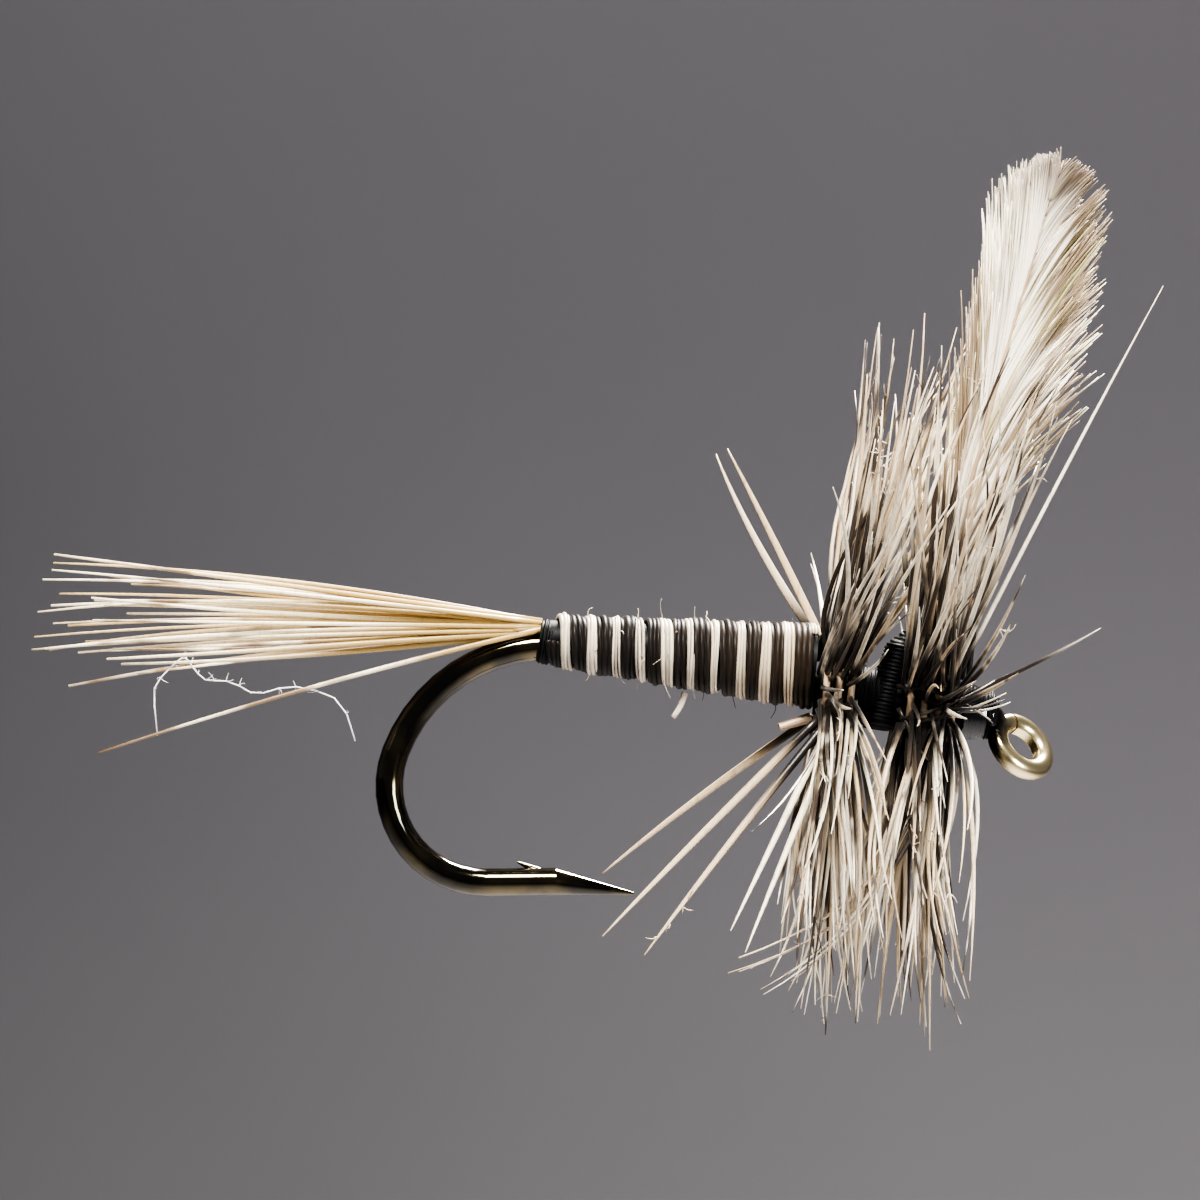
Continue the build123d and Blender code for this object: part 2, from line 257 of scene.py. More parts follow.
class Wire:
    """A shader socket that arithmetic works on: each operator adds a Math node."""

    def __init__(self, shader, socket):
        self.shader, self.socket = shader, socket

    def _maths(self, operation, *values):
        return self.shader.add("ShaderNodeMath", {"operation": operation}, *values)

    def __add__(self, other):
        return self._maths("ADD", self, other)

    def __radd__(self, other):
        return self._maths("ADD", other, self)

    def __sub__(self, other):
        return self._maths("SUBTRACT", self, other)

    def __rsub__(self, other):
        return self._maths("SUBTRACT", other, self)

    def __mul__(self, other):
        return self._maths("MULTIPLY", self, other)

    def __rmul__(self, other):
        return self._maths("MULTIPLY", other, self)

    def __truediv__(self, other):
        return self._maths("DIVIDE", self, other)

    def sine(self):
        return self._maths("SINE", self)

    def fraction(self):
        return self._maths("FRACT", self)

    def within(self, low, high):
        """0 below low, 1 above high and smooth between."""
        settings = {"interpolation_type": "SMOOTHSTEP"}
        return self.shader.add("ShaderNodeMapRange", settings, self, low, high, 0.0, 1.0)


class Shader:
    """A material with one Principled surface."""

    def __init__(self, name, **constants):
        self.material = bpy.data.materials.new(name)
        self.material.use_nodes = True
        self.nodes = self.material.node_tree.nodes
        self.surface = self.nodes["Principled BSDF"]
        for socket, value in constants.items():
            self.surface.inputs[socket.replace("_", " ")].default_value = value

    def add(self, kind, settings, *inputs, out=0, **named):
        """Adds a node: its type, its settings, then the values or links of its sockets."""
        node = self.nodes.new(kind)
        for key, value in settings.items():
            if key == "stops":
                ramp = node.color_ramp
                while len(ramp.elements) < len(value):
                    ramp.elements.new(0.5)
                for element, (position, colour) in zip(ramp.elements, value):
                    element.position, element.color = position, colour
            else:
                setattr(node, key, value)
        sockets = list(zip(node.inputs, inputs))
        sockets += [(node.inputs[key.replace("_", " ")], value) for key, value in named.items()]
        for socket, value in sockets:
            self.feed(socket, value)
        return Wire(self, node.outputs[out])

    def feed(self, socket, value):
        if isinstance(value, Wire):
            self.material.node_tree.links.new(value.socket, socket)
        elif value is not None:
            socket.default_value = value

    def drive(self, **sockets):
        for key, value in sockets.items():
            self.feed(self.surface.inputs[key.replace("_", " ")], value)

    def read(self, name):
        return self.add("ShaderNodeAttribute", {"attribute_name": name}, out="Fac")

    def place(self, stretch=(1, 1, 1)):
        """Object coordinates in millimetres, stretched."""
        coordinates = self.add("ShaderNodeTexCoord", {}, out="Object")
        scale = tuple(s / MM for s in stretch)
        return self.add("ShaderNodeVectorMath", {"operation": "MULTIPLY"}, coordinates, scale)

    def part(self, vector, axis):
        return self.add("ShaderNodeSeparateXYZ", {}, vector, out=axis)

    def streaks(self, reach, pick, stretch):
        """Noise that runs along each strand and differs from strand to strand."""
        where = self.add("ShaderNodeCombineXYZ", {}, reach * stretch, pick * 37.0, 0.0)
        return self.noise(where, 1.0, 2.0)

    def noise(self, where, scale, detail=3.0):
        return self.add("ShaderNodeTexNoise", {}, Vector=where, Scale=scale, Detail=detail)

    def mix(self, factor, a, b):
        """Colour a where factor is 0 and colour b where it is 1."""
        node = self.nodes.new("ShaderNodeMix")
        node.data_type = "RGBA"
        for socket, value in ((0, factor), (6, a), (7, b)):
            self.feed(node.inputs[socket], value)
        return Wire(self, node.outputs[2])

    def bump(self, height, strength, distance_mm):
        wire = self.add("ShaderNodeBump", {}, Strength=strength, Distance=distance_mm * MM, Height=height)
        self.drive(Normal=wire)


def rgb(colour):
    return (*colour[:3], 1.0)


def bronze_wire(look):
    """Lacquered bronzed steel, dark and glassy, with a painted pale gold highlight on the eye."""
    shader = Shader("bronze_wire", Metallic=1.0, Coat_Weight=1.0, Coat_Roughness=0.05)
    place = shader.place()
    patches = shader.noise(place, 1.6)
    lines = shader.noise(shader.place((0.6, 6, 6)), 5.0, 4.0)
    tone = shader.mix(patches.within(0.35, 0.7), rgb(look.wire_dark), rgb(look.wire_warm))
    # painted highlight: pale gold laid over the eye end of the hook as a glint, also made a little rougher
    # there
    painted_eye_glint = (shader.part(place, "X") + 0.5 * (patches - 0.5)).within(-0.42, -0.10)
    tone = shader.mix(painted_eye_glint, tone, rgb(look.wire_eye_glint))
    shader.drive(Base_Color=tone, Roughness=0.08 + 0.10 * lines + 0.12 * painted_eye_glint)
    shader.bump(lines, 0.12, 0.004)
    return shader.material


def fibre_look(name, look, bar, shift, root_length, light_share, roughness):
    """A barred feather fibre: a dark root, long light and dark bars, and a tone of its own.

    look holds four colours: the dark bar, the light bar, the warmer light bar and the root.
    bar is a pair of bars' length, and shift moves each fibre's bars along it by up to so many pairs.
    """
    dark, light, warm, root = look
    shader = Shader(name, Sheen_Weight=0.06, Specular_IOR_Level=0.45)
    reach, pick, shade = (shader.read(key) for key in ("reach", "pick", "shade"))
    wave = ((reach / bar + pick * shift) * TAU).sine() * 0.5 + 0.5
    streaks = shader.streaks(reach, pick, 0.7)
    patches = shader.noise(shader.place((1.2, 1.2, 0.35)), 1.0, 2.0)
    edge = 1.0 - light_share
    level = 0.26 * wave + 0.7 * (streaks - 0.5) + 1.5 * (patches - 0.5) + 0.5 * pick + 0.12 + shade
    mask = level.within(edge - 0.15, edge + 0.15)
    own = (pick * 13.7).fraction()
    pale = shader.mix(own.within(0.25, 0.95), rgb(light), rgb(warm))
    grain = shader.noise(shader.place((3, 3, 0.8)), 4.0)
    pale = shader.mix(grain.within(0.5, 0.8) * 0.4, pale, rgb(dark))
    barred = shader.mix(mask, rgb(dark), pale)
    depth = reach / (0.35 + 1.3 * (pick * 7.9).fraction()) / root_length
    colour = shader.mix(depth.within(0.45, 1.15), rgb(root), barred)
    shader.drive(Base_Color=colour, Roughness=roughness + 0.25 * (grain - 0.5))
    shader.bump(grain, 0.25, 0.006)
    return shader.material


def web_look(look):
    """The web of a wing: barbs in lengthwise streaks of several tones, faint bars, a brown crown."""
    shader = Shader("grizzly_web", Sheen_Weight=0.06, Specular_IOR_Level=0.4)
    reach, pick, shade = (shader.read(key) for key in ("reach", "pick", "shade"))
    streaks = shader.streaks(reach, pick, 0.3)
    patches = shader.noise(shader.place((1.5, 1.5, 0.30)), 1.0, 2.0)
    bars = ((reach / 2.3 + 0.15 * pick) * TAU).sine()
    level = 1.0 * streaks + 1.0 * patches + 0.05 * bars - 0.52 + shade
    colour = shader.mix(level.within(0.36, 0.62), rgb(look.web_dark), rgb(look.web_light))
    green = (pick * 13.7).fraction().within(0.80, 0.84) * 0.55
    colour = shader.mix(green, colour, rgb(look.web_green))
    near = 1.0 - reach.within(0.8, 2.6)
    crown = (reach + 2.0 * (patches - 0.5)).within(6.7, 8.0)
    colour = shader.mix(crown * 0.8, colour, rgb(look.web_crown))
    colour = shader.mix(near * 0.7, colour, rgb(look.web_crown))
    shader.drive(Base_Color=colour, Roughness=0.34 + 0.2 * (streaks - 0.5))
    shader.bump(streaks, 0.2, 0.006)
    return shader.material


def hair_look(name, low, high, front, specular):
    """A wound hair: a streaked shaft, low and high in tone by turns as painted shade and painted highlight,
    browner at the front.
    """
    shader = Shader(name, Specular_IOR_Level=specular, Sheen_Weight=0.04)
    reach, pick = shader.read("reach"), shader.read("pick")
    place = shader.place((5, 1, 1))
    grain = shader.noise(place, 6.0, 5.0)
    patch = ((reach * 0.9 + pick * 6.0).sine() * 0.5 + 0.5) * 0.45 + grain * 0.55
    # painted shade and painted highlight: the low and high copies of one hair colour, mixed by turns along
    # the hair
    colour = shader.mix(patch.within(0.25, 0.70), rgb(low), rgb(high))
    ahead = shader.part(shader.place(), "X").within(-6.0, -3.2) * (0.2 + 0.7 * grain)
    colour = shader.mix(ahead, colour, rgb(front))
    shader.drive(Base_Color=colour, Roughness=0.30 + 0.25 * grain)
    shader.bump(grain, 0.35, 0.01)
    return shader.material


def thread_look(look):
    """Fine black waxed thread with a dull shine."""
    shader = Shader("black_thread", Specular_IOR_Level=0.16)
    fuzz = shader.noise(shader.place((3, 1, 1)), 14.0, 5.0)
    dull = [c * 2.0 + 0.002 for c in look.thread]
    colour = shader.mix(fuzz.within(0.4, 0.8), rgb(look.thread), rgb(dull))
    shader.drive(Base_Color=colour, Roughness=0.38 + 0.3 * fuzz)
    shader.bump(fuzz, 0.4, 0.008)
    return shader.material


def varnish_look():
    """Clear head varnish, pooled a little unevenly."""
    shader = Shader("clear_varnish", Specular_IOR_Level=0.9, Coat_Weight=1.0, Coat_Roughness=0.02)
    pools = shader.noise(shader.place(), 2.2, 2.0)
    colour = shader.mix(pools, (0.003, 0.003, 0.004, 1), (0.012, 0.012, 0.015, 1))
    shader.drive(Base_Color=colour, Roughness=0.03 + 0.06 * pools, Alpha=0.40 + 0.2 * pools)
    shader.bump(pools, 0.3, 0.03)
    return shader.material


def down_look():
    """Loose white down."""
    shader = Shader("white_down", Sheen_Weight=0.6, Roughness=0.6)
    cloud = shader.noise(shader.place(), 6.0)
    shader.drive(Base_Color=shader.mix(cloud, (0.62, 0.60, 0.56, 1), (0.92, 0.91, 0.88, 1)))
    return shader.material


# ---- what a user may change ----------------------------------------------------------------


def colour_property(name, description, default):
    return bpy.props.FloatVectorProperty(
        name=name, description=description, default=default, size=3, subtype="COLOR", min=0, max=1
    )


class DryFlyLooks(bpy.types.PropertyGroup):
    wire_dark: colour_property("Wire, dark", "Bronzed wire in shade", (0.020, 0.016, 0.009))
    wire_warm: colour_property("Wire, warm", "Bronzed wire where the lacquer is thin", (0.10, 0.078, 0.036))
    # painted highlight: the pale gold glint laid on the eye
    wire_eye_glint: colour_property("Wire, eye glint", "Painted glint on the eye", (0.90, 0.76, 0.44))
    thread: colour_property("Thread", "Tying thread", (0.0016, 0.0016, 0.0019))
    barb_dark: colour_property("Barb, dark bar", "Dark bars of the hackle", (0.060, 0.042, 0.030))
    barb_light: colour_property("Barb, light bar", "Light bars of the hackle", (0.86, 0.78, 0.63))
    barb_warm: colour_property("Barb, warm bar", "Buff bars of the hackle", (0.56, 0.43, 0.28))
    barb_root: colour_property("Barb, root", "The hackle near its stem", (0.020, 0.015, 0.012))
    web_dark: colour_property("Wing, dark streak", "Dark streaks of the wings", (0.27, 0.20, 0.13))
    web_light: colour_property("Wing, light streak", "Light streaks of the wings", (0.90, 0.83, 0.70))
    web_green: colour_property("Wing, green barb", "Barbs with a green cast", (0.62, 0.58, 0.30))
    web_crown: colour_property("Wing, crown", "Crown and root of the wings", (0.16, 0.115, 0.085))
    tail_light: colour_property("Tail", "Tail fibres", (0.86, 0.77, 0.58))
    tail_warm: colour_property("Tail, warm", "The straw-coloured tail fibres", (0.58, 0.43, 0.22))
    tail_dark: colour_property("Tail, dark", "Dark bars of the tail", (0.22, 0.145, 0.08))
    tail_root: colour_property("Tail root", "Tail fibres where they are tied", (0.40, 0.27, 0.10))
    hair_light: colour_property("Light hair", "Light hair of the body", (0.56, 0.49, 0.385))
    hair_dark: colour_property("Dark hair", "Dark hair of the body", (0.008, 0.006, 0.005))
    quill: colour_property("Quill", "Feather stems", (0.60, 0.43, 0.28))


class DryFlySizes(bpy.types.PropertyGroup):
    barbs_each: bpy.props.IntProperty(
        name="Barbs to a CAD barb", description="Fine barbs that stand for one in the frame", default=3, min=1
    )
    barb_bow: bpy.props.FloatProperty(
        name="Barb bow", description="Bow of a barb, as part of its length", default=0.045, subtype="FACTOR"
    )
    web_barbs: bpy.props.IntProperty(
        name="Barbs in a web", description="Barbs in each half of a wing", default=230, min=10
    )
    thread_pitch: bpy.props.FloatProperty(
        name="Thread pitch", description="One thread turn to the next, in millimetres", default=0.06, min=0.02
    )
    view_width: bpy.props.FloatProperty(
        name="View width", description="Width of the view at the fly, in millimetres", default=18.0, min=1
    )
    view_distance: bpy.props.FloatProperty(
        name="View distance", description="Camera to fly, in millimetres", default=95.0, min=10
    )


def settings():
    return bpy.context.scene.dry_fly_sizes, bpy.context.scene.dry_fly_looks


def finish_piece(piece, material, slot, *nodes):
    """Gives a new piece its material and body, and lets it replace its CAD nodes."""
    piece.data.materials.append(material)
    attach(piece, "root")
    if nodes:
        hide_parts(*nodes)
    return piece


def dress(node, material):
    """Gives a CAD node that stays its material."""
    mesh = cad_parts[node].data
    mesh.materials.clear()
    mesh.materials.append(material)


class Builder(bpy.types.Operator):
    """What the piece operators share."""

    bl_options = {"UNDO"}

    def execute(self, context):
        self.make(*settings())
        return {"FINISHED"}


# ---- hook ----------------------------------------------------------------------------------


class DRYFLY_OT_hook(Builder):
    """Lacquers the bent wire hook"""

    bl_idname = "dryfly.hook"
    bl_label = "Hook"

    def make(self, sizes, looks):
        dress("hook", bronze_wire(looks))


# ---- body ----------------------------------------------------------------------------------


def body_line():
    """Where the wound body starts and ends, and its outer radius there: ((x, z, r), (x, z, r))."""
    cloud = np.concatenate([cad_points("light_hair_winding"), cad_points("dark_hair_winding")])
    low, high = cloud[:, 0].min(), cloud[:, 0].max()
    ends = []
    for x, reach in ((low, 0.35), (high, -0.35)):
        near = cloud[np.abs(cloud[:, 0] - (x + reach)) < 0.2]
        top, bottom = near[:, 2].max(), near[:, 2].min()
        ends.append((x + reach, (top + bottom) / 2, (top - bottom) / 2))
    (x0, z0, r0), (x1, z1, r1) = ends
    span = x1 - x0

    def at(x):
        t = (x - x0) / span
        return z0 + (z1 - z0) * t, r0 + (r1 - r0) * t

    return low, high, at


def wound_hair(name, phase, seed, width, thickness, shafts, fuzz, material, slot, node):
    """One hair wound round the body: shafts side by side, uneven, with a few short loose ends."""
    low, high, at = body_line()
    draw = random.Random(seed)
    turns = (high - low - 2 * HAIR_MARGIN) / HAIR_PITCH
    rows = int(turns * HAIR_ROWS_A_TURN)
    wobble = [draw.uniform(0, TAU) for _ in range(7)]
    tubes = Strands(10)
    outer = []
    for k in range(shafts):
        points, hints, radii = [], [], []
        for i in range(rows + 1):
            turn = turns * i / rows
            angle = turn * TAU + phase
            swell = 1 + 0.17 * math.sin(turn * 1.7 + wobble[5]) + 0.11 * math.sin(turn * 4.3 + wobble[6])
            offset = (k - (shafts - 1) / 2) * width * swell / shafts
            drift = 0.020 * math.sin(turn * 2.1 + wobble[0]) + 0.012 * math.sin(turn * 7.3 + wobble[1] + k)
            x = low + HAIR_MARGIN + turn * HAIR_PITCH + offset + drift
            z, r = at(x)
            lift = 0.014 * math.sin(turn * 5.1 + wobble[2] + 2 * k) + 0.008 * math.sin(turn * 13 + wobble[3])
            r = r - thickness / 2 + lift - abs(offset) * 0.16
            out = np.array([0, math.cos(angle), math.sin(angle)])
            points.append(np.array([x, 0, z]) + out * r)
            hints.append(out)
            radii.append(width * swell / shafts * (0.58 + 0.08 * math.sin(turn * 9 + wobble[4] + k)))
        tubes.add(points, radii, hints, draw.random(), flat=thickness / (width / shafts) * 0.72)
        outer.append((points, hints))
    for _ in range(fuzz):
        points, hints = draw.choice(outer)
        i = draw.randint(20, rows - 20)
        away = 0.7 * hints[i] + 0.5 * unit(random_vector(draw))
        end = points[i] + away * draw.uniform(0.12, 0.42)
        line = curve_between(points[i], end, random_vector(draw) * 0.03, np.zeros(3), 6)
        tubes.add(line, np.linspace(0.008, 0.004, 6), X_DIR + 0.3 * Z_DIR, draw.random(), np.full(6, 1.0))
    return finish_piece(tubes.build(name), material, slot, node)


class DRYFLY_OT_body(Builder):
    """Winds the light and the dark hair round the tapered body"""

    bl_idname = "dryfly.body"
    bl_label = "Wound body"

    def make(self, sizes, looks):
        # painted shade: a darker copy of the light hair; the paler copy of the dark hair below is a painted
        # highlight
        shade = [c * 0.55 for c in looks.hair_light]
        light = hair_look("light_hair", shade, looks.hair_light, (0.50, 0.39, 0.26), 0.6)
        painted_sheen = [c * 1.7 for c in looks.hair_dark]
        dark = hair_look("dark_hair", looks.hair_dark, painted_sheen, (0.034, 0.022, 0.013), 0.13)
        thread = thread_look(looks)
        wound_hair("light_hair_turns", 0.0, 5, 0.142, 0.10, 3, 30, light, "light_hair", "light_hair_winding")
        wound_hair("dark_hair_turns", math.pi, 6, 0.222, 0.095, 3, 10, dark, "dark_hair", "dark_hair_winding")
        for node in ("thread_base", "underbody_taper"):
            dress(node, thread)
        self.tag_end(light)

    def tag_end(self, material):
        """The clipped end of the body hair, cut square."""
        root, tip, radius = cad_axis("hair_tag_end")
        tubes = Strands(12)
        rows = 7
        points = curve_between(root, tip, np.array([0.02, 0, 0]), np.array([-0.03, 0, 0]), rows)
        tubes.add(points, np.linspace(radius, radius * 0.8, rows), Y_DIR, 0.4, flat=0.7)
        finish_piece(tubes.build("clipped_hair_end"), material, "light_hair", "hair_tag_end")


def cad_axis(node):
    """(root, tip, root radius) of a node that is one straight rod; the root is nearer the shank."""
    cloud = cad_points(node)
    middle = cloud.mean(0)
    run = np.linalg.svd(cloud - middle, full_matrices=False)[2][0]
    share = (cloud - middle) @ run
    ends = []
    for side in (share < share.min() + AT_END, share > share.max() - AT_END):
        centre = (cloud[side].min(0) + cloud[side].max(0)) / 2
        ends.append((centre, np.linalg.norm(cloud[side] - centre, axis=1).max()))
    ends.sort(key=lambda end: abs(end[0][2] - SHANK_Z))
    return ends[0][0], ends[1][0], ends[0][1]


# ---- tail ----------------------------------------------------------------------------------


class DRYFLY_OT_tail(Builder):
    """Makes the fan of tail fibres, its binding and the wisp of down caught in it"""

    bl_idname = "dryfly.tail"
    bl_label = "Tail"

    def make(self, sizes, looks):
        tones = (looks.tail_dark, looks.tail_light, looks.tail_warm, looks.tail_root)
        bars = {"bar": 4.4, "shift": 2.0, "root_length": 3.6, "light_share": 0.66}
        fibre = fibre_look("tail_fibre", tones, **bars, roughness=0.3)
        thread = thread_look(looks)
        dress("tail_butts", fibre)
        self.fibres(fibre)
        self.wisp()
        self.binding(thread, sizes.thread_pitch)

    def fibres(self, material):
        """One or two fibres to each CAD one; a second one strays a little from the first."""
        draw = random.Random(21)
        tubes = Strands(7)
        rows = 14
        for root, tip, radius in cad_fibres("tail_fibres"):
            for copy in range(draw.choice((1, 1, 2))):
                spread = 0.0 if copy == 0 else 1.0
                end = tip + spread * random_vector(draw) * np.array([0.5, 0.16, 0.16])
                end[0] = max(end[0], tip[0])
                length = np.linalg.norm(end - root)
                bow = random_vector(draw) * length * 0.012 + np.array([0, 0, 0.010 * length])
                sway = random_vector(draw) * length * np.array([0, 0.018, 0.018])
                points = curve_between(root, end, bow, sway, rows)
                t = np.linspace(0, 1, rows)
                radii = radius * (1.0 - 0.62 * t**1.8) * draw.uniform(0.9, 1.3)
                tubes.add(points, radii, Y_DIR, draw.random(), flat=draw.uniform(0.6, 0.9))
        finish_piece(tubes.build("tail_fan"), material, "tail_fibre", "tail_fibres")

    def wisp(self):
        """Follows the CAD wisp's crooked thread, softened, with fine side hairs."""
        cloud = cad_points("down_wisp")
        order = []
        left = list(range(0, len(cloud), 7))
        at = min(left, key=lambda i: cloud[i][2])
        while left:
            near = min(left, key=lambda i: np.linalg.norm(cloud[i] - cloud[at]))
            left.remove(near)
            if not order or np.linalg.norm(cloud[near] - cloud[order[-1]]) > 0.09:
                order.append(near)
            at = near
        line = cloud[order]
        for _ in range(2):
            line[1:-1] = (line[:-2] + 2 * line[1:-1] + line[2:]) / 4
        draw = random.Random(4)
        tubes = Strands(6)
        tubes.add(line, 0.011, Y_DIR, 0.5)
        for i in range(1, len(line) - 1):
            for _ in range(2):
                root = line[i]
                away = unit(random_vector(draw)) * draw.uniform(0.05, 0.16)
                points = curve_between(root, root + away, random_vector(draw) * 0.012, np.zeros(3), 5)
                tubes.add(points, np.linspace(0.006, 0.003, 5), X_DIR + 0.3 * Z_DIR, draw.random())
        finish_piece(tubes.build("curled_down"), down_look(), "white_down", "down_wisp")

    def binding(self, material, pitch):
        """Thread turns that hold the tail's foot, swelling in the middle."""
        low, high = box("tail_binding")
        rows = 36
        x = np.linspace(low[0], high[0] + 0.06, rows)
        z = np.full(rows, (low[2] + high[2]) / 2)
        swell = np.sin(np.linspace(0.45, math.pi - 0.6, rows))
        radii = (high[2] - low[2]) / 2 * (0.82 + 0.18 * swell)
        centres = np.stack([x, np.zeros(rows), z], 1)
        piece = wound_form("tail_binding_turns", centres, Y_DIR, Z_DIR, radii, radii, pitch, 0.02)
        finish_piece(piece, material, "black_thread", "tail_binding")


# ---- wings ---------------------------------------------------------------------------------


class DRYFLY_OT_wings(Builder):
    """Makes the two barred feather wings, barb by barb"""

    bl_idname = "dryfly.wings"
    bl_label = "Wings"

    def make(self, sizes, looks):
        web = web_look(looks)
        quill = quill_look(looks)
        for seed, hand in enumerate(("left", "right")):
            root, tip, radius = cad_axis(f"{hand}_wing_stem")
            self.stem(hand, root, tip, radius, quill)
            for towards, half in ((1, "leading"), (-1, "trailing")):
                self.web(hand, half, towards, root, tip, sizes.web_barbs, 40 + 3 * seed + towards, web)
        dress("wing_butts", quill)

    def stem(self, hand, root, tip, radius, material):
        tubes = Strands(12)
        rows = 24
        points = curve_between(root, tip, np.array([-0.10, 0, 0]), np.zeros(3), rows)
        tubes.add(points, radius * (1 - 0.8 * np.linspace(0, 1, rows)), X_DIR, 0.5)
        finish_piece(tubes.build(f"{hand}_wing_quill"), material, "feather_stem", f"{hand}_wing_stem")

    def web(self, hand, half, towards, root, tip, count, seed, material):
        """Half a wing: barbs that leave its stem at a slant, in clumps of eight, and end at its edge."""
        node = f"{hand}_wing_{half}_vane"
        up = unit(tip - root)
        forward = unit(X_DIR - up * up[0])
        face = np.cross(forward, up)
        cloud = cad_points(node) - root
        start, end = (cloud @ up).min(), (cloud @ up).max()
        width = np.abs(cloud @ forward).max()
        outward = 1 if hand == "left" else -1
        draw = random.Random(seed)
        tubes = Strands(6)
        rows = 12
        t = np.linspace(0, 1, rows)
        crown = end - 1.9 * width
        front, far = towards > 0, hand == "left"
        # barbs lean out by slant degrees at the foot, and the far wing's front half bellies out
        slant, swell = (11 + 7 * far, 0.5 * far) if front else (5, 0.0)

        def edge(height):
            """How far the web reaches from its stem at a height: widening, then a rounded crown."""
            low = np.clip(0.55 + 0.45 * (height - start) / (0.5 * (end - start)), 0.55, 1.0)
            belly = 1 + swell * math.sin(math.pi * min(max((height - 2.6) / 4.6, 0), 1))
            high = np.clip((height - crown) / (end - 0.1 - crown), 0, 1)
            return width * low * belly * np.sqrt(np.maximum(1 - high**3.2, 0.02))

        for i in range(count):
            share = i / (count - 1)
            if i % 8 == 0:
                clump, tone, depth = draw.gauss(0, 2.0), draw.random(), draw.gauss(0, 0.07)
            foot = start * 0.55 + (end - start * 0.55 - 0.45) * share**0.95
            angle = math.radians(max(slant + 7 * share + clump + draw.gauss(0, 1.3), 3))
            reach = 4.2 * draw.uniform(0.62, 1.0)
            limit = draw.uniform(0.76, 1.10)
            top = end + draw.gauss(-0.12, 0.10)
            while True:
                out = reach * np.sin(angle * (0.55 + 0.6 * t)) * t
                rise = reach * np.cos(angle * (0.55 + 0.6 * t)) * t
                if reach < 0.2 or (out[-1] < edge(foot + rise[-1]) * limit and foot + rise[-1] < top):
                    break
                reach *= 0.96
            cup = 0.12 * (out / width) ** 2 + (depth + draw.gauss(0, 0.02)) * t
            stem = np.minimum((foot + rise) / end, 1)
            bow = -0.40 * stem * (1 - stem) + 0.02 * draw.gauss(0, 1) * t**2
            points = (
                root
                + up * (foot + rise)[:, None]
                + forward * (towards * out + bow)[:, None]
                + face * (outward * cup)[:, None]
            )
            radii = draw.uniform(0.018, 0.033) * (1 - 0.70 * t**1.8)
            pick = draw.random() if front else (tone + draw.gauss(0, 0.03)) % 1.0
            # the trailing half pales with height: the feather's own cream, plus a painted highlight on its
            # upper part and painted shade low by the quill
            shade = -0.05 if front else 0.26 * min(max((foot - 2.2) / 2.0, -0.3), 1)
            tubes.add(points, radii, face, pick, reach=foot + rise, flat=0.6, shade=shade)
        finish_piece(tubes.build(f"{hand}_{half}_web"), material, "grizzly_web", node)


def quill_look(looks):
    """A pale feather quill."""
    shader = Shader("feather_quill", Specular_IOR_Level=0.6)
    grain = shader.noise(shader.place((1, 1, 0.3)), 8.0)
    colour = shader.mix(grain, rgb([c * 0.6 for c in looks.quill]), rgb(looks.quill))
    shader.drive(Base_Color=colour, Roughness=0.3 + 0.2 * grain)
    shader.bump(grain, 0.2, 0.006)
    return shader.material


# ---- hackles -------------------------------------------------------------------------------


BUNDLED_SHARE = 0.6  # of the CAD barbs, those whose fine barbs stay together
BUNDLE_SPREAD = (1.5, 0.14)  # how far fine barbs turn round the shank, in degrees, and fan along it
FAN_SPREAD = (4.5, 0.36)  # the same, for those that fan out
FEATHERED_SHARE = 0.12  # of the fine barbs, those with barbules left near the tip


